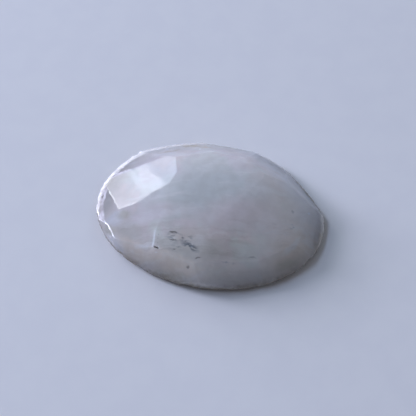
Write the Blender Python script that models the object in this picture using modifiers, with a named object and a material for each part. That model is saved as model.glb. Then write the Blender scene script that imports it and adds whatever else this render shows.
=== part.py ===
"""Oval rose-cut rainbow moonstone, 18 x 13 mm, as one solid.

The stone is cut the way a lapidary cuts it. An oval blank with a vertical girdle
wall is ground flat facet by facet. Each crown facet is given by three settings:
the compass azimuth it faces, its slope from level, and its rim height, which is
the height at which the facet would meet the girdle wall of the plain oval.
The underside is one flat, ringed by narrow bevel cuts.

Units are metres, +Z is up, +X runs along the long axis. The origin is at the
middle of the stone's footprint, on the surface that it rests on.
"""

from math import cos, hypot, pi, radians, sin

import bmesh
import bpy
from mathutils import Matrix, Vector

MM = 0.001

# Blank: the oval before any facet is cut.
OVAL_LENGTH = 18.0 * MM
OVAL_WIDTH = 13.0 * MM
BLANK_HEIGHT = 4.0 * MM
OUTLINE_SEGMENTS = 120

# The far left shoulder of the oval was left a little full by hand.
SHOULDER_AT = 126.0
SHOULDER_HALF_WIDTH = 34.0
SHOULDER_SWELL = 0.035

# Crown facets: name, azimuth in degrees, slope in degrees, rim height in mm.
CROWN_FACETS = [
    ("table", 242, 3.0, 2.40),
    ("upper_front", 256, 7.5, 2.05),
    ("upper_front_right", 314, 12.5, 1.40),
    ("upper_right", 359, 20.5, 1.00),
    ("upper_back", 121, 4.0, 2.55),
    ("back_sliver", 90, 16.5, 2.10),
    ("upper_back_left", 123, 11.5, 1.95),
    ("main_left", 169, 22.5, 0.45),
    ("upper_left", 194, 16.5, 1.00),
    ("left_chip", 196, 19.0, 0.85),
    ("left_front", 205, 19.5, 0.95),
    ("lower_back_left", 155, 27.5, 0.45),
    ("lower_back", 113, 37.5, 0.65),
    ("lower_back_right", 90, 42.5, 0.75),
    ("lower_right_back", 62, 41.0, 0.65),
    ("right_flat", 45, 51.0, 0.05),
    ("lower_right", 357, 33.5, 0.55),
    ("lower_right_front", 311, 36.0, 0.60),
    ("lower_front", 293, 41.0, 0.55),
    ("lower_front_left", 257, 52.5, 0.55),
    ("lower_left_front", 246, 54.5, 0.50),
    ("lower_left", 211, 46.0, 0.60),
    ("left_end", 181, 28.0, 0.35),
]

# Underside: a ring of equal bevel cuts, deeper towards the front right.
BEVEL_CUTS = 36
BEVEL_SLOPE = 50.0
BEVEL_RIM = 0.38
BEVEL_RIM_SWING = 0.06
BEVEL_DEEPEST_AT = 330.0

# Facet edges are worn to a narrow arris.
ARRIS_WIDTH = 0.03 * MM
ARRIS_MIN_ANGLE = 7.0

# Points closer than this are one point.
WELD_DISTANCE = 0.004 * MM

# Nicks in the girdle edge: angle round the oval, height, radius, bite, all lengths in mm.
GIRDLE_NICKS = [
    (229, 0.50, 0.55, 0.14),
    (240, 0.34, 0.40, 0.10),
    (268, 0.58, 0.50, 0.10),
    (302, 0.32, 0.60, 0.12),
    (337, 0.56, 0.45, 0.12),
    (24, 0.32, 0.50, 0.12),
    (98, 0.56, 0.45, 0.10),
    (139, 0.44, 0.60, 0.15),
    (186, 0.32, 0.45, 0.10),
]

# Open pits on the crown: x, y, long radius, short radius, depth, in mm.
SURFACE_PITS = [
    (-3.02, -4.70, 0.20, 0.09, 0.10),
    (-0.62, -4.13, 0.26, 0.10, 0.05),
    (7.50, 1.07, 0.14, 0.10, 0.06),
]
PIT_HEAD_ROOM = 2.0

# Fineness of the balls that cut the nicks and pits.
BALL_SUBDIVISIONS = 2

# Moonstone: milky, faintly blue, glossy.
STONE_COLOUR = (0.56, 0.56, 0.58, 1.0)
STONE_ROUGHNESS = 0.15
STONE_IOR = 1.52


def clear_scene():
    for old in list(bpy.data.objects):
        bpy.data.objects.remove(old)


def new_collection(name):
    collection = bpy.data.collections.new(name)
    bpy.context.scene.collection.children.link(collection)
    return collection


def add_object(name, bm, collection):
    mesh = bpy.data.meshes.new(name)
    bm.to_mesh(mesh)
    bm.free()
    obj = bpy.data.objects.new(name, mesh)
    collection.objects.link(obj)
    return obj


def oval_reach(azimuth):
    """Distance from the centre to the oval's tangent line that faces the azimuth."""
    angle = radians(azimuth)
    return hypot(OVAL_LENGTH / 2 * cos(angle), OVAL_WIDTH / 2 * sin(angle))


def shoulder_swell(turn):
    """Growth of the outline at one angle round the oval, in degrees."""
    offset = (turn - SHOULDER_AT) / SHOULDER_HALF_WIDTH
    if abs(offset) >= 1:
        return 1.0
    return 1.0 + SHOULDER_SWELL * cos(offset * pi / 2) ** 2


def oval_blank():
    bm = bmesh.new()
    bmesh.ops.create_cone(bm, cap_ends=True, segments=OUTLINE_SEGMENTS, radius1=1, radius2=1, depth=1)
    for vert in bm.verts:
        turn = Vector((1, 0)).angle_signed(vert.co.xy) * -180 / pi
        swell = shoulder_swell(turn % 360)
        vert.co.x *= OVAL_LENGTH / 2 * swell
        vert.co.y *= OVAL_WIDTH / 2 * swell
        vert.co.z = (vert.co.z + 0.5) * BLANK_HEIGHT
    return bm


def grind(bm, point, normal):
    """Take away everything beyond one plane and close the flat it leaves."""
    everything = bm.verts[:] + bm.edges[:] + bm.faces[:]
    cut = bmesh.ops.bisect_plane(bm, geom=everything, plane_co=point, plane_no=normal, clear_outer=True)
    rim = [item for item in cut["geom_cut"] if isinstance(item, bmesh.types.BMEdge)]
    bmesh.ops.edgeloop_fill(bm, edges=rim)


def facet_normal(azimuth, slope):
    tilt = radians(slope)
    turn = radians(azimuth)
    return Vector((sin(tilt) * cos(turn), sin(tilt) * sin(turn), cos(tilt)))


def rim_point(azimuth, height):
    """The point, out along the azimuth, where a facet's plane meets the wall's tangent."""
    reach = oval_reach(azimuth)
    turn = radians(azimuth)
    return Vector((reach * cos(turn), reach * sin(turn), height * MM))


def cut_crown(bm):
    for _name, azimuth, slope, rim in CROWN_FACETS:
        grind(bm, rim_point(azimuth, rim), facet_normal(azimuth, slope))


def cut_underside(bm):
    for step in range(BEVEL_CUTS):
        azimuth = step * 360 / BEVEL_CUTS
        rim = BEVEL_RIM + BEVEL_RIM_SWING * cos(radians(azimuth - BEVEL_DEEPEST_AT))
        normal = facet_normal(azimuth, BEVEL_SLOPE)
        normal.z = -normal.z
        grind(bm, rim_point(azimuth, rim), normal)


def soften_arrises(obj):
    bevel = obj.modifiers.new("arris", "BEVEL")
    bevel.width = ARRIS_WIDTH
    bevel.segments = 1
    bevel.limit_method = "ANGLE"
    bevel.angle_limit = radians(ARRIS_MIN_ANGLE)
    bevel.use_clamp_overlap = True


def nick_cutter(bm, turn, height, radius, bite):
    """A ball that bites into the girdle edge like a small shell-shaped chip."""
    angle = radians(turn)
    swell = shoulder_swell(turn)
    edge = Vector((OVAL_LENGTH / 2 * cos(angle), OVAL_WIDTH / 2 * sin(angle), 0)) * swell
    outward = Vector((OVAL_WIDTH * cos(angle), OVAL_LENGTH * sin(angle), 0)).normalized()
    centre = edge + outward * (radius - bite) * MM
    centre.z = height * MM
    bmesh.ops.create_icosphere(
        bm, subdivisions=BALL_SUBDIVISIONS, radius=radius * MM, matrix=Matrix.Translation(centre))


def crown_surface(x, y):
    """Height of the crown above one point of the footprint, and its normal there."""
    lowest = None
    for _name, azimuth, slope, rim in CROWN_FACETS:
        normal = facet_normal(azimuth, slope)
        point = rim_point(azimuth, rim)
        height = point.z - (normal.x * (x - point.x) + normal.y * (y - point.y)) / normal.z
        if lowest is None or height < lowest[0]:
            lowest = (height, normal)
    return lowest


def pit_cutter(bm, x, y, long_radius, short_radius, depth):
    """A lens lying on a facet, sunk to the pit's depth."""
    height, normal = crown_surface(x * MM, y * MM)
    lie = normal.to_track_quat("Z", "Y").to_matrix().to_4x4()
    sink = PIT_HEAD_ROOM * depth
    place = Matrix.Translation(Vector((x * MM, y * MM, height)) + normal * (sink - depth) * MM)
    size = Matrix.Diagonal(Vector((long_radius, short_radius, sink, 1.0)))
    bmesh.ops.create_icosphere(bm, subdivisions=BALL_SUBDIVISIONS, radius=MM, matrix=place @ lie @ size)


def wear_cutters(collection):
    bm = bmesh.new()
    for nick in GIRDLE_NICKS:
        nick_cutter(bm, *nick)
    for pit in SURFACE_PITS:
        pit_cutter(bm, *pit)
    cutters = add_object("wear_cutters", bm, collection)
    cutters.hide_render = True
    cutters.display_type = "WIRE"
    return cutters


def wear(obj, cutters):
    cut = obj.modifiers.new("wear", "BOOLEAN")
    cut.operation = "DIFFERENCE"
    cut.solver = "EXACT"
    cut.object = cutters
    weld = obj.modifiers.new("weld", "WELD")
    weld.merge_threshold = WELD_DISTANCE


def stone_material():
    material = bpy.data.materials.new("polished_moonstone")
    material.use_nodes = True
    shader = material.node_tree.nodes["Principled BSDF"]
    shader.inputs["Base Color"].default_value = STONE_COLOUR
    shader.inputs["Roughness"].default_value = STONE_ROUGHNESS
    shader.inputs["Metallic"].default_value = 0.0
    shader.inputs["IOR"].default_value = STONE_IOR
    return material


def build_moonstone():
    parts = new_collection("rose_cut_moonstone")
    guides = new_collection("cutters")
    blank = oval_blank()
    cut_crown(blank)
    cut_underside(blank)
    bmesh.ops.remove_doubles(blank, verts=blank.verts[:], dist=WELD_DISTANCE)
    bmesh.ops.recalc_face_normals(blank, faces=blank.faces[:])
    stone = add_object("moonstone", blank, parts)
    stone.data.materials.append(stone_material())
    soften_arrises(stone)
    wear(stone, wear_cutters(guides))


clear_scene()
build_moonstone()
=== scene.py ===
"""Looks of the rose-cut rainbow moonstone: the polished stone, its floor, its light and the camera.

The stone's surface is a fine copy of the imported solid: every flat is filled with
small triangles, then the facet edges are rounded by polishing and the flats
get the slight waviness of hand lapping. Lengths named _MM are in millimetres.
"""

from math import ceil, cos, pi, radians, sin, sqrt, tan

import bmesh
import bpy
import numpy as np
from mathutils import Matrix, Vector, geometry, noise


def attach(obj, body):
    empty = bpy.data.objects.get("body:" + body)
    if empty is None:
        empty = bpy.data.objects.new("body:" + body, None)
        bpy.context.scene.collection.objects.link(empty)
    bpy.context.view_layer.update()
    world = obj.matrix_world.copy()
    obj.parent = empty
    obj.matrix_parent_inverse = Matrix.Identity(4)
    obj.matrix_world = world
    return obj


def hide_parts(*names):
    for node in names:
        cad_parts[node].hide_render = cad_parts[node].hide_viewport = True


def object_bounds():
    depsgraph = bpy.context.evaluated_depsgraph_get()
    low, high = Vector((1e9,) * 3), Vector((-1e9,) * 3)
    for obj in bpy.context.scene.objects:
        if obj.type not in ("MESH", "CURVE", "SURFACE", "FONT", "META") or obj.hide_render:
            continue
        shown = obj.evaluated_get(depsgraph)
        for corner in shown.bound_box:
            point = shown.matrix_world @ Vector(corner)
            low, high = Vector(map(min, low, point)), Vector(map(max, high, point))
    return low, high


MM = 0.001

# Camera, as fitted to the photograph.
CAMERA_AZIMUTH = 12.0
CAMERA_ELEVATION = 58.0
CAMERA_DISTANCE_MM = 90.0
CAMERA_TARGET_MM = (-0.18, 0.26, 1.0)
CAMERA_LENS = 100.0
CAMERA_SENSOR = 36.0

# Floor.
FLOOR_SIZE = 1.2
FLOOR_COLOUR = (0.80, 0.80, 0.80)
FLOOR_COLOUR_LOW = (0.785, 0.785, 0.79)
FLOOR_DROP_MM = 0.02

# Fine surface.
STEP_MM = 0.085
BASE_STEP_MM = 0.30
EDGE_MARGIN = 0.55
POLISH_ROUNDS = 3
POLISH_STRENGTH = 0.5
WAVE_LENGTH_MM = 1.6
WAVE_DEPTH_MM = 0.004

# The oval, and the fine chips left by grinding near its rim.
HALF_LENGTH_MM = 9.0
HALF_WIDTH_MM = 6.5
CHIPS_FROM = 0.86
CHIP_LENGTH_MM = 0.55
CHIP_DEPTH_MM = 0.12

# How far light wanders in the stone, and how much farther red goes than blue.
SCATTER_DEPTH_MM = 12.0
SCATTER_TINT = (1.0, 1.0, 0.92)

# Colours of the stone; some of them are painted light and shade, as noted.
MILK_COOL = (0.72, 0.71, 0.635)
MILK_LILAC = (0.745, 0.64, 0.625)
MILK_GREEN = (0.655, 0.70, 0.585)
MILK_PINK = (0.82, 0.64, 0.575)
# Painted sheen: this blue-grey, laid on the middle of the milky body, stands in for the blue adularescent sheen.
SHEEN_BLUE = (0.58, 0.625, 0.61)
GREY_COLOUR = (0.52, 0.50, 0.44)
# Painted light: near-white that lightens the back right of the stone, where light from the back right falls.
BACK_LIGHT_WHITE = (0.96, 0.96, 0.97)
# Partly the stone's beige rim, partly painted light: the warm glow of light passing through the thin edge.
BEIGE_AND_THIN_EDGE_GLOW = (0.88, 0.78, 0.65)
# Partly the stone's warm tint, partly painted light: the warm colour of light that has passed through the stone.
END_TINT_AND_THROUGH_LIGHT = (0.95, 0.81, 0.71)
RUST_COLOUR = (0.78, 0.60, 0.46)
# Pale colour, used for pale wisps in the stone and for painted light on pale bands.
PALE_WISP_AND_LIT_COLOUR = (0.92, 0.90, 0.86)
OLIVE_COLOUR = (0.48, 0.46, 0.35)
OCHRE_COLOUR = (0.62, 0.46, 0.26)
EDGE_OCHRE = (0.34, 0.27, 0.18)
# Painted shade: dark brown for the underside, which faces the floor and lies in shade.
UNDERSIDE_SHADE_BROWN = (0.24, 0.18, 0.12)
WISP_DARK = (0.78, 0.74, 0.71)
WISP_TURN = 12.0
GRAIN_GREY = (0.80, 0.78, 0.77)
MARK_BLUE = (0.30, 0.34, 0.40)
MARK_DARK = (0.13, 0.13, 0.13)
# Painted glints: white dots where small highlights shine.
GLINT_WHITE = (0.95, 0.95, 0.95)
WOBBLE_MM = 0.5

# Zones and marks: centre, reach along three axes, turn about Z in degrees, softness, strength; lengths in mm.
# Where the painted blue sheen lies.
SHEEN_CORE = [((0.4, 0.6, 2.4), (5.2, 2.8, 3.0), 12, 0.6, 0.8)]
LILAC = [
    ((2.5, -0.8, 2.6), (2.6, 1.3, 1.4), 15, 0.7, 0.8),
    ((-1.5, -2.4, 2.6), (0.9, 0.4, 1.0), 10, 0.7, 0.6),
    ((4.3, 3.2, 1.9), (0.7, 1.0, 1.0), 20, 0.7, 0.6),
]
# Warm right end and near side: partly the stone's tint, partly painted warm light passing through.
WARM_TINT_AND_THROUGH_LIGHT = [
    ((8.0, -0.5, 0.8), (3.8, 6.0, 3.0), 0, 0.7, 0.95),
    ((3.0, -6.0, 0.8), (5.5, 1.6, 2.0), 0, 0.7, 0.45),
]
RUST = [
    ((7.2, -2.6, 1.0), (1.9, 2.4, 1.5), -35, 0.7, 0.75),
    ((-4.7, -5.1, 1.0), (2.0, 0.7, 1.0), -30, 0.7, 0.7),
    ((-1.9, -5.6, 1.6), (2.2, 0.7, 1.0), -10, 0.7, 0.6),
]
# Pale bands: painted light on the lit left girdle and facets, a painted highlight line along the right girdle, and
# pale patches of the stone.
LIT_PALE_BANDS = [
    ((-6.9, -2.4, 1.35), (0.9, 0.6, 0.6), 20, 0.5, 0.9),
    ((-6.6, -4.2, 0.8), (1.2, 0.5, 0.6), -40, 0.6, 0.6),
    ((-4.0, -4.6, 2.0), (0.9, 0.16, 0.5), 10, 0.6, 0.5),
    ((0.0, -4.2, 2.3), (0.7, 0.6, 0.5), 10, 0.5, 0.12),
    ((6.9, -2.1, 1.7), (1.0, 0.2, 0.5), 60, 0.6, 0.35),
]
GREY = [
    ((0.2, -4.2, 2.2), (2.4, 1.2, 0.9), 8, 0.6, 0.85),
    ((-5.4, -3.5, 1.7), (1.5, 0.8, 0.8), -15, 0.6, 0.8),
    ((-8.4, 0.6, 0.6), (1.1, 3.0, 0.9), 0, 0.6, 0.6),
    ((-7.6, 3.6, 0.5), (2.2, 1.0, 0.8), 40, 0.5, 0.6),
]
# Where the painted light from the back right lies.
PAINTED_BACK_LIGHT = [
    ((5.2, 4.3, 1.0), (4.2, 1.7, 1.6), -38, 0.7, 0.95),
    ((8.0, 1.6, 0.9), (1.6, 2.0, 1.2), -30, 0.7, 0.6),
]
FROSTED = [((-1.5, 5.7, 0.9), (6.5, 1.0, 1.3), 6, 0.3, 1.0)]
OLIVE = [
    ((-6.3, -2.1, 1.6), (0.5, 0.35, 0.5), 0, 0.6, 0.6),
    ((-7.2, -3.4, 1.1), (0.7, 0.3, 0.5), -40, 0.6, 0.8),
    ((6.9, -3.4, 1.0), (1.0, 0.35, 0.6), 30, 0.7, 0.5),
    ((-1.5, -6.2, 0.8), (1.8, 0.35, 0.6), 0, 0.7, 0.5),
]
OCHRE = [
    ((-2.6, 5.6, 1.2), (1.1, 0.25, 0.5), 0, 0.6, 0.7),
    ((-1.3, 5.3, 1.6), (0.6, 0.2, 0.4), 0, 0.6, 0.6),
    ((-4.3, 4.4, 1.3), (1.0, 0.16, 0.4), 25, 0.6, 0.6),
    ((4.2, 4.0, 1.5), (0.9, 0.25, 0.5), -20, 0.7, 0.35),
]
BLUE_MARKS = [
    ((-1.11, -3.66, 2.43), (0.42, 0.30, 0.3), 0, 0.6, 0.8),
    ((-0.65, -4.20, 2.37), (0.60, 0.30, 0.3), -20, 0.6, 1.0),
    ((-1.95, -3.60, 2.40), (0.55, 0.50, 0.3), 0, 0.7, 0.5),
    ((-1.60, -4.45, 2.30), (0.45, 0.20, 0.3), 0, 0.7, 0.5),
    ((6.57, -0.72, 1.91), (0.22, 0.22, 0.3), 0, 0.6, 0.45),
    ((2.41, -4.75, 1.96), (0.40, 0.08, 0.3), 8, 0.6, 0.45),
]
DARK_MARKS = [
    ((-3.10, -4.72, 2.22), (0.20, 0.10, 0.2), 0, 0.35, 1.0),
    ((-2.13, -3.26, 2.44), (0.30, 0.07, 0.2), 4, 0.5, 0.75),
    ((-2.00, -3.82, 2.38), (0.28, 0.06, 0.2), -6, 0.5, 0.6),
    ((-1.77, -4.52, 2.29), (0.10, 0.06, 0.2), 0, 0.5, 0.6),
    ((-0.46, -5.62, 1.95), (0.13, 0.08, 0.2), 0, 0.5, 0.6),
    ((0.17, -4.99, 2.30), (0.16, 0.07, 0.2), 10, 0.5, 0.55),
    ((4.08, -3.91, 1.88), (0.24, 0.08, 0.2), 5, 0.6, 0.4),
    ((-3.14, -4.30, 2.33), (0.05, 0.05, 0.2), 0, 0.5, 0.35),
    ((-3.16, -3.94, 2.33), (0.05, 0.05, 0.2), 0, 0.5, 0.30),
    ((-3.12, -3.60, 2.33), (0.05, 0.05, 0.2), 0, 0.5, 0.30),
    ((6.40, 0.67, 1.98), (0.10, 0.14, 0.2), 0, 0.6, 0.30),
]
# Painted glints on chips and a pit.
PAINTED_GLINTS = [
    ((7.61, 1.08, 1.51), (0.10, 0.10, 0.2), 0, 0.4, 0.9),
    ((-4.55, 4.99, 1.08), (0.16, 0.08, 0.3), 0, 0.5, 0.8),
    ((-1.83, 4.98, 1.90), (0.10, 0.08, 0.3), 0, 0.5, 0.6),
    ((-3.08, -5.00, 2.15), (0.16, 0.05, 0.2), 0, 0.5, 0.5),
]

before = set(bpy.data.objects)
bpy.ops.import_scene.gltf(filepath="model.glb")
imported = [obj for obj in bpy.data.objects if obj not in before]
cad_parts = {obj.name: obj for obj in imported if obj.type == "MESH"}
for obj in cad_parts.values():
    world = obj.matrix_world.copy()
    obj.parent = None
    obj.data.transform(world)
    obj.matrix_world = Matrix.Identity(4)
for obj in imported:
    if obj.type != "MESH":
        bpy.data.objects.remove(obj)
cad_low, cad_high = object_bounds()


def flat_sided_solid():
    """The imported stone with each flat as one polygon, in millimetres."""
    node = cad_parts["moonstone"]
    bm = bmesh.new()
    bm.from_mesh(node.data)
    bm.transform(node.matrix_world)
    bmesh.ops.scale(bm, vec=(1 / MM,) * 3, verts=bm.verts[:])
    bmesh.ops.remove_doubles(bm, verts=bm.verts[:], dist=0.0005)
    bmesh.ops.dissolve_limit(bm, angle_limit=radians(0.3), verts=bm.verts[:], edges=bm.edges[:])
    bm.verts.index_update()
    return bm


def divided_edges(solid, points):
    """Adds points along every edge, and returns them by the edge's two ends."""
    along = {}
    for edge in solid.edges:
        start, end = sorted(edge.verts, key=lambda vert: vert.index)
        pieces = ceil(edge.calc_length() / STEP_MM)
        along[start.index, end.index] = range(len(points), len(points) + pieces - 1)
        points.extend(start.co.lerp(end.co, piece / pieces) for piece in range(1, pieces))
    return along


def ring_of(face, along):
    """Point numbers round a face, with those added along its edges."""
    ring = []
    corners = [vert.index for vert in face.verts]
    for here, there in zip(corners, corners[1:] + corners[:1]):
        ring.append(here)
        between = along[min(here, there), max(here, there)]
        ring.extend(between if here < there else reversed(between))
    return ring


def points_inside(ring, step):
    """A triangular grid of points well inside a flat outline."""
    low, high = ring.min(axis=0), ring.max(axis=0)
    rows = np.arange(low[1], high[1], step * sqrt(3) / 2)
    grid = [
        (x, y)
        for count, y in enumerate(rows)
        for x in np.arange(low[0] + (count % 2) * step / 2, high[0], step)
    ]
    if not grid:
        return np.empty((0, 2))
    grid = np.array(grid)
    inside = np.zeros(len(grid), bool)
    nearest = np.full(len(grid), np.inf)
    for start, end in zip(ring, np.roll(ring, -1, axis=0)):
        side = end - start
        spans = (start[1] > grid[:, 1]) != (end[1] > grid[:, 1])
        if side[1]:
            crossing = start[0] + (grid[:, 1] - start[1]) / side[1] * side[0]
            inside ^= spans & (grid[:, 0] < crossing)
        share = np.clip((grid - start) @ side / (side @ side), 0, 1)
        away = grid - start - share[:, None] * side
        nearest = np.minimum(nearest, np.hypot(away[:, 0], away[:, 1]))
    return grid[inside & (nearest > step * EDGE_MARGIN)]


def fill_flat(face, along, points, triangles):
    """Fills one flat with triangles, adding the points inside it."""
    numbers = ring_of(face, along)
    normal = face.normal.copy()
    across = normal.orthogonal().normalized()
    up = normal.cross(across)
    origin = points[numbers[0]].copy()
    ring = np.array([((points[n] - origin).dot(across), (points[n] - origin).dot(up)) for n in numbers])
    step = BASE_STEP_MM if normal.z < -0.99 else STEP_MM
    inner = points_inside(ring, step)
    numbers = numbers + list(range(len(points), len(points) + len(inner)))
    points.extend(origin + across * x + up * y for x, y in inner)
    flat = [Vector(point) for point in np.vstack([ring, inner])]
    filled = geometry.delaunay_2d_cdt(flat, [], [list(range(len(ring)))], 1, 1e-7)
    for triangle in filled[2]:
        triangles.append([numbers[filled[3][corner][0]] for corner in triangle])


def neighbour_means(places, links):
    """The mean place of each point's neighbours."""
    total = np.zeros_like(places)
    count = np.zeros(len(places))
    for here, there in (links.T, links.T[::-1]):
        np.add.at(total, here, places[there])
        np.add.at(count, here, 1)
    return total / count[:, None]


def polish(places, triangles):
    """Rounds the facet edges a little, as polishing does."""
    sides = np.vstack([triangles[:, [0, 1]], triangles[:, [1, 2]], triangles[:, [2, 0]]])
    links = np.unique(np.sort(sides, axis=1), axis=0)
    for _round in range(POLISH_ROUNDS):
        places = places + POLISH_STRENGTH * (neighbour_means(places, links) - places)
    return places


def lapping_waves(places):
    """Moves each point a few thousandths of a millimetre."""
    moves = [noise.noise_vector(Vector(place) / WAVE_LENGTH_MM) for place in places]
    return places + np.array(moves) * WAVE_DEPTH_MM


def rim_wear(places):
    """Roughens the rim with fine grinding chips, which only take stone away."""
    out = (places[:, 0] / HALF_LENGTH_MM) ** 2 + (places[:, 1] / HALF_WIDTH_MM) ** 2
    share = np.clip((out - CHIPS_FROM) / (1 - CHIPS_FROM), 0, 1)
    coarse = np.array([noise.noise(Vector(place) / CHIP_LENGTH_MM) for place in places])
    fine = np.array([noise.noise(Vector(place) / CHIP_LENGTH_MM * 2.7) for place in places])
    bite = share * CHIP_DEPTH_MM * (np.abs(coarse) + 0.5 * np.abs(fine))
    inward = -places[:, :2] / np.linalg.norm(places[:, :2], axis=1, keepdims=True)
    worn = places.copy()
    worn[:, :2] += inward * bite[:, None]
    return worn


def stone_surface():
    solid = flat_sided_solid()
    points = [vert.co.copy() for vert in solid.verts]
    along = divided_edges(solid, points)
    triangles = []
    for face in solid.faces:
        fill_flat(face, along, points, triangles)
    solid.free()
    triangles = np.array(triangles)
    places = polish(np.array(points), triangles)
    places = rim_wear(lapping_waves(places))
    places = np.clip(places * MM, cad_low, cad_high)
    mesh = bpy.data.meshes.new("moonstone_surface")
    mesh.from_pydata(places.tolist(), [], triangles.tolist())
    mesh.shade_smooth()
    surface = bpy.data.objects.new("moonstone_surface", mesh)
    bpy.context.scene.collection.objects.link(surface)
    print("moonstone_surface:", len(triangles), "triangles")
    return surface


def add_node(tree, kind, **settings):
    node = tree.nodes.new(kind)
    for name, value in settings.items():
        setattr(node, name, value)
    return node


def feed(tree, socket, value):
    """Gives a socket a fixed value, or links it to another node."""
    if isinstance(value, bpy.types.NodeSocket):
        tree.links.new(value, socket)
    else:
        socket.default_value = value


def calculate(tree, operation, *values):
    node = add_node(tree, "ShaderNodeMath", operation=operation)
    for socket, value in zip(node.inputs, values):
        feed(tree, socket, value)
    return node.outputs[0]


def moved(tree, operation, *values):
    """Vector arithmetic; gives a vector, or a number for a length."""
    node = add_node(tree, "ShaderNodeVectorMath", operation=operation)
    for socket, value in zip(node.inputs, values):
        feed(tree, socket, value)
    return node.outputs["Value" if operation == "LENGTH" else "Vector"]


def ramp(tree, value, low, high):
    """Rises smoothly from 0 at low to 1 at high; falls where low is above high."""
    node = add_node(tree, "ShaderNodeMapRange", interpolation_type="SMOOTHSTEP")
    feed(tree, node.inputs["Value"], value)
    node.inputs["From Min"].default_value = min(low, high)
    node.inputs["From Max"].default_value = max(low, high)
    node.inputs["To Min"].default_value = 0.0 if low < high else 1.0
    node.inputs["To Max"].default_value = 1.0 if low < high else 0.0
    return node.outputs["Result"]


def cloud(tree, place, size, detail=3.0, stretch=(1.0, 1.0, 1.0), seed=0.0, twist=0.0):
    """Soft noise whose patches are about one size across, in millimetres."""
    spot = moved(tree, "MULTIPLY", place, (1 / size / stretch[0], 1 / size / stretch[1], 1 / size / stretch[2]))
    spot = moved(tree, "ADD", spot, (seed, seed, seed))
    node = add_node(tree, "ShaderNodeTexNoise")
    feed(tree, node.inputs["Vector"], spot)
    node.inputs["Scale"].default_value = 0.5
    node.inputs["Detail"].default_value = detail
    node.inputs["Distortion"].default_value = twist
    return node.outputs[0]


def blend(tree, share, first, second, kind="MIX"):
    node = add_node(tree, "ShaderNodeMix", data_type="RGBA", blend_type=kind)
    feed(tree, node.inputs[0], share)
    for socket, colour in ((node.inputs[6], first), (node.inputs[7], second)):
        feed(tree, socket, (*colour, 1.0) if isinstance(colour, tuple) else colour)
    return node.outputs[2]


def share_of(tree, mask, strength):
    return calculate(tree, "MULTIPLY", mask, strength)


def zone(tree, place, centre, reach, turn=0.0, soft=0.6):
    """1 inside an ellipsoid, fading to 0 outside it; lengths in millimetres, turn in degrees about Z."""
    spot = moved(tree, "SUBTRACT", place, centre)
    if turn:
        node = add_node(tree, "ShaderNodeVectorRotate", rotation_type="Z_AXIS")
        feed(tree, node.inputs["Vector"], spot)
        node.inputs["Angle"].default_value = -radians(turn)
        spot = node.outputs["Vector"]
    away = moved(tree, "LENGTH", moved(tree, "DIVIDE", spot, reach))
    return ramp(tree, away, 1 + soft, 1 - soft)


def zones(tree, place, marks):
    """The strongest of several marks at each place."""
    strongest = None
    for centre, reach, turn, soft, strength in marks:
        mask = share_of(tree, zone(tree, place, centre, reach, turn, soft), strength)
        strongest = mask if strongest is None else calculate(tree, "MAXIMUM", strongest, mask)
    return strongest


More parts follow.
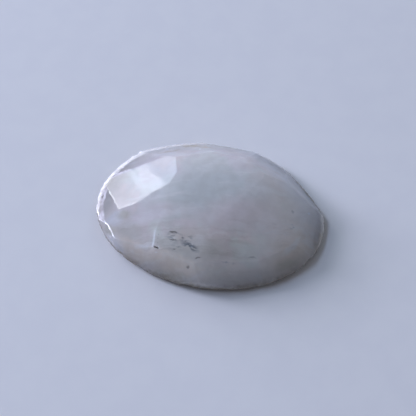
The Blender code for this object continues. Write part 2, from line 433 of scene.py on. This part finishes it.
def stone_colour(tree, place, wobbly):
    """The stone's colour: milk, a bluish core that is a painted blue sheen, a warm rim and end partly painted light
    passing through, a painted-light back right, pale bands partly painted light, a painted-shade underside, stains,
    wisps, marks and painted glints.
    """
    axes = add_node(tree, "ShaderNodeSeparateXYZ")
    feed(tree, axes.inputs[0], wobbly)
    across, along, height = axes.outputs
    out = calculate(tree, "ADD", calculate(tree, "POWER", calculate(tree, "DIVIDE", across, HALF_LENGTH_MM), 2.0),
                    calculate(tree, "POWER", calculate(tree, "DIVIDE", along, HALF_WIDTH_MM), 2.0))
    colour = blend(tree, ramp(tree, cloud(tree, place, 2.6, seed=3.1), 0.44, 0.56), MILK_COOL, MILK_LILAC)
    colour = blend(tree, share_of(tree, ramp(tree, cloud(tree, place, 2.4, seed=11.7), 0.50, 0.60), 0.65), colour, MILK_GREEN)
    colour = blend(tree, share_of(tree, ramp(tree, cloud(tree, place, 1.7, seed=23.9), 0.50, 0.62), 0.60), colour, MILK_PINK)
    # Painted sheen: the blue adularescent glow of the middle, painted into the base colour.
    colour = blend(tree, share_of(tree, zones(tree, wobbly, SHEEN_CORE), 1.0), colour, SHEEN_BLUE)
    colour = blend(tree, zones(tree, wobbly, LILAC), colour, MILK_LILAC)
    # Partly the stone's warm tint, partly painted warm light passing through the right end.
    colour = blend(tree, zones(tree, wobbly, WARM_TINT_AND_THROUGH_LIGHT), colour, END_TINT_AND_THROUGH_LIGHT)
    # Rim colour: partly the stone's beige, partly a painted glow of light through the thin edge.
    colour = blend(tree, share_of(tree, ramp(tree, out, 0.50, 0.90), 0.80), colour, BEIGE_AND_THIN_EDGE_GLOW)
    # Painted light on the back right.
    colour = blend(tree, zones(tree, wobbly, PAINTED_BACK_LIGHT), colour, BACK_LIGHT_WHITE)
    colour = blend(tree, zones(tree, wobbly, GREY), colour, GREY_COLOUR)
    colour = blend(tree, zones(tree, wobbly, RUST), colour, RUST_COLOUR)
    # Painted light and highlights on the pale bands, with some pale patches of the stone.
    colour = blend(tree, zones(tree, wobbly, LIT_PALE_BANDS), colour, PALE_WISP_AND_LIT_COLOUR)
    colour = blend(tree, zones(tree, wobbly, OLIVE), colour, OLIVE_COLOUR)
    colour = blend(tree, zones(tree, wobbly, OCHRE), colour, OCHRE_COLOUR)
    low_edge = calculate(tree, "MULTIPLY", ramp(tree, height, 0.95, 0.40), ramp(tree, out, 0.80, 0.95))
    colour = blend(tree, share_of(tree, low_edge, 0.85), colour, EDGE_OCHRE)
    # Painted shade: the underside below about 0.3 to 0.5 mm is darkened brown.
    colour = blend(tree, share_of(tree, ramp(tree, height, 0.50, 0.30), 0.75), colour, UNDERSIDE_SHADE_BROWN)
    turned = add_node(tree, "ShaderNodeVectorRotate", rotation_type="Z_AXIS")
    feed(tree, turned.inputs["Vector"], wobbly)
    turned.inputs["Angle"].default_value = -radians(WISP_TURN)
    grain = turned.outputs["Vector"]
    dark_wisps = ramp(tree, cloud(tree, grain, 0.42, 5.0, (4.0, 0.62, 1.5), 41.3, 0.6), 0.50, 0.66)
    light_wisps = ramp(tree, cloud(tree, grain, 0.60, 5.0, (3.0, 0.80, 1.5), 57.7, 0.6), 0.52, 0.70)
    broken = ramp(tree, cloud(tree, place, 1.5, 2.0, seed=19.3), 0.42, 0.60)
    dark_wisps = calculate(tree, "MULTIPLY", dark_wisps, broken)
    near_side = ramp(tree, calculate(tree, "SUBTRACT", calculate(tree, "MULTIPLY", across, 0.35), along), -1.5, 3.5)
    colour = blend(tree, calculate(tree, "MULTIPLY", dark_wisps, calculate(tree, "MULTIPLY_ADD", near_side, 0.38, 0.10)),
                   colour, WISP_DARK, "MULTIPLY")
    colour = blend(tree, share_of(tree, light_wisps, 0.30), colour, PALE_WISP_AND_LIT_COLOUR)
    grains = ramp(tree, cloud(tree, place, 0.40, 5.0, seed=61.0), 0.36, 0.66)
    colour = blend(tree, share_of(tree, grains, 0.35), colour, GRAIN_GREY, "MULTIPLY")
    crumbs = ramp(tree, cloud(tree, place, 0.17, 4.0, (1.8, 0.8, 1.0), 83.1), 0.46, 0.56)
    colour = blend(tree, calculate(tree, "MULTIPLY", zones(tree, wobbly, BLUE_MARKS), crumbs), colour, MARK_BLUE, "MULTIPLY")
    colour = blend(tree, zones(tree, wobbly, DARK_MARKS), colour, MARK_DARK, "MULTIPLY")
    # Painted glints.
    colour = blend(tree, zones(tree, place, PAINTED_GLINTS), colour, GLINT_WHITE)
    return colour, out


def moonstone_material():
    material = bpy.data.materials.new("milky_moonstone")
    material.use_nodes = True
    tree = material.node_tree
    shader = tree.nodes["Principled BSDF"]
    coordinates = add_node(tree, "ShaderNodeTexCoord")
    place = moved(tree, "MULTIPLY", coordinates.outputs["Object"], (1 / MM,) * 3)
    wobble = add_node(tree, "ShaderNodeTexNoise")
    feed(tree, wobble.inputs["Vector"], place)
    wobble.inputs["Scale"].default_value = 1.7
    wobble.inputs["Detail"].default_value = 3.0
    shift = moved(tree, "MULTIPLY", moved(tree, "SUBTRACT", wobble.outputs[1], (0.5, 0.5, 0.5)), (WOBBLE_MM,) * 3)
    wobbly = moved(tree, "ADD", place, shift)
    colour, out = stone_colour(tree, place, wobbly)
    feed(tree, shader.inputs["Base Color"], colour)
    grind = calculate(tree, "MAXIMUM", ramp(tree, out, 0.86, 1.0), zones(tree, wobbly, FROSTED))
    smear = ramp(tree, cloud(tree, place, 0.9, 5.0, seed=71.0), 0.40, 0.70)
    gloss = calculate(tree, "MULTIPLY_ADD", smear, 0.04, 0.03)
    feed(tree, shader.inputs["Roughness"], calculate(tree, "MULTIPLY_ADD", grind, 0.16, gloss))
    shader.inputs["IOR"].default_value = 1.52
    shader.inputs["Subsurface Weight"].default_value = 1.0
    shader.inputs["Subsurface Radius"].default_value = SCATTER_TINT
    shader.inputs["Subsurface Scale"].default_value = SCATTER_DEPTH_MM * MM
    bump = add_node(tree, "ShaderNodeBump")
    bump.inputs["Strength"].default_value = 0.22
    bump.inputs["Distance"].default_value = 0.01 * MM
    feed(tree, bump.inputs["Height"], calculate(
        tree, "ADD", cloud(tree, place, 0.22, 4.0, seed=5.0),
        calculate(tree, "MULTIPLY", grind, cloud(tree, place, 0.12, 2.0, seed=9.0))))
    feed(tree, shader.inputs["Normal"], bump.outputs["Normal"])
    return material


def floor_material():
    """Pale matt paper with a faint mottle."""
    material = bpy.data.materials.new("pale_paper")
    material.use_nodes = True
    tree = material.node_tree
    shader = tree.nodes["Principled BSDF"]
    coordinates = add_node(tree, "ShaderNodeTexCoord")
    place = moved(tree, "MULTIPLY", coordinates.outputs["Object"], (1 / MM,) * 3)
    mottle = ramp(tree, cloud(tree, place, 1.1, 4.0, seed=2.0), 0.35, 0.65)
    feed(tree, shader.inputs["Base Color"], blend(tree, mottle, FLOOR_COLOUR, FLOOR_COLOUR_LOW))
    shader.inputs["Roughness"].default_value = 0.9
    shader.inputs["Specular IOR Level"].default_value = 0.2
    return material


def make_floor():
    bm = bmesh.new()
    bmesh.ops.create_grid(bm, x_segments=1, y_segments=1, size=FLOOR_SIZE / 2)
    mesh = bpy.data.meshes.new("floor")
    bm.to_mesh(mesh)
    bm.free()
    floor = bpy.data.objects.new("floor", mesh)
    floor.data.materials.append(floor_material())
    floor.location.z = -FLOOR_DROP_MM * MM
    bpy.context.scene.collection.objects.link(floor)


def toward(azimuth, elevation):
    """Unit direction, by degrees to the right of straight away from the camera and above the horizon."""
    turn = radians(azimuth)
    view = radians(CAMERA_AZIMUTH)
    right = Vector((cos(view), sin(view), 0))
    away = Vector((-sin(view), cos(view), 0))
    level = right * sin(turn) + away * cos(turn)
    return level * cos(radians(elevation)) + Vector((0, 0, sin(radians(elevation))))


def light_panel(name, azimuth, elevation, width, height, radiance, colour):
    """A soft panel seen from the stone at a direction, with its angular size in degrees."""
    distance = 0.5
    data = bpy.data.lights.new(name, "AREA")
    data.shape = "RECTANGLE"
    data.size = 2 * distance * tan(radians(width / 2))
    data.size_y = 2 * distance * tan(radians(height / 2))
    data.energy = radiance * pi * data.size * data.size_y
    data.color = colour
    light = bpy.data.objects.new(name, data)
    direction = toward(azimuth, elevation)
    light.location = direction * distance
    light.rotation_mode = "QUATERNION"
    light.rotation_quaternion = direction.to_track_quat("Z", "Y")
    bpy.context.scene.collection.objects.link(light)


def make_light():
    light_panel("bright_window", -67.5, 20.0, 15.0, 20.0, 27.0, (0.74, 0.76, 0.98))
    light_panel("bright_window_top", -67.5, 33.0, 15.0, 8.0, 8.0, (0.72, 0.83, 1.0))
    light_panel("low_window", -45.0, 12.0, 30.0, 10.0, 8.0, (0.72, 0.72, 1.0))
    light_panel("mirrored_left_pane", -37.4, 24.0, 4.4, 12.0, 4.6, (0.90, 0.92, 1.0))
    light_panel("window_frame_glare", -42.5, 27.0, 5.0, 18.0, 9.0, (0.90, 0.92, 1.0))
    light_panel("mirrored_right_pane", -30.0, 24.0, 10.4, 12.0, 3.3, (0.66, 0.84, 1.0))
    light_panel("high_window", -80.0, 58.0, 40.0, 16.0, 3.8, (0.53, 0.68, 1.0))
    light_panel("far_glow", 22.5, 28.0, 30.0, 20.0, 1.1, (0.6, 0.8, 1.0))
    light_panel("room_right", 75.0, 35.0, 60.0, 30.0, 0.45, (0.80, 0.86, 1.0))
    world = bpy.data.worlds.new("room")
    world.use_nodes = True
    background = world.node_tree.nodes["Background"]
    background.inputs["Color"].default_value = (0.82, 0.84, 1.0, 1.0)
    background.inputs["Strength"].default_value = 0.14
    bpy.context.scene.world = world


def make_camera():
    data = bpy.data.cameras.new("camera")
    data.lens = CAMERA_LENS
    data.sensor_width = CAMERA_SENSOR
    data.clip_start = 0.001
    data.clip_end = 10.0
    camera = bpy.data.objects.new("camera", data)
    back = -toward(0.0, 0.0) * cos(radians(CAMERA_ELEVATION)) + Vector((0, 0, sin(radians(CAMERA_ELEVATION))))
    target = Vector(CAMERA_TARGET_MM) * MM
    camera.location = target + back * CAMERA_DISTANCE_MM * MM
    camera.rotation_mode = "QUATERNION"
    camera.rotation_quaternion = back.to_track_quat("Z", "Y")
    bpy.context.scene.collection.objects.link(camera)
    bpy.context.scene.camera = camera


bpy.context.scene.view_settings.view_transform = "Standard"
make_camera()
make_floor()
make_light()
stone = stone_surface()
stone.data.materials.append(moonstone_material())
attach(stone, "root")
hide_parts("moonstone")
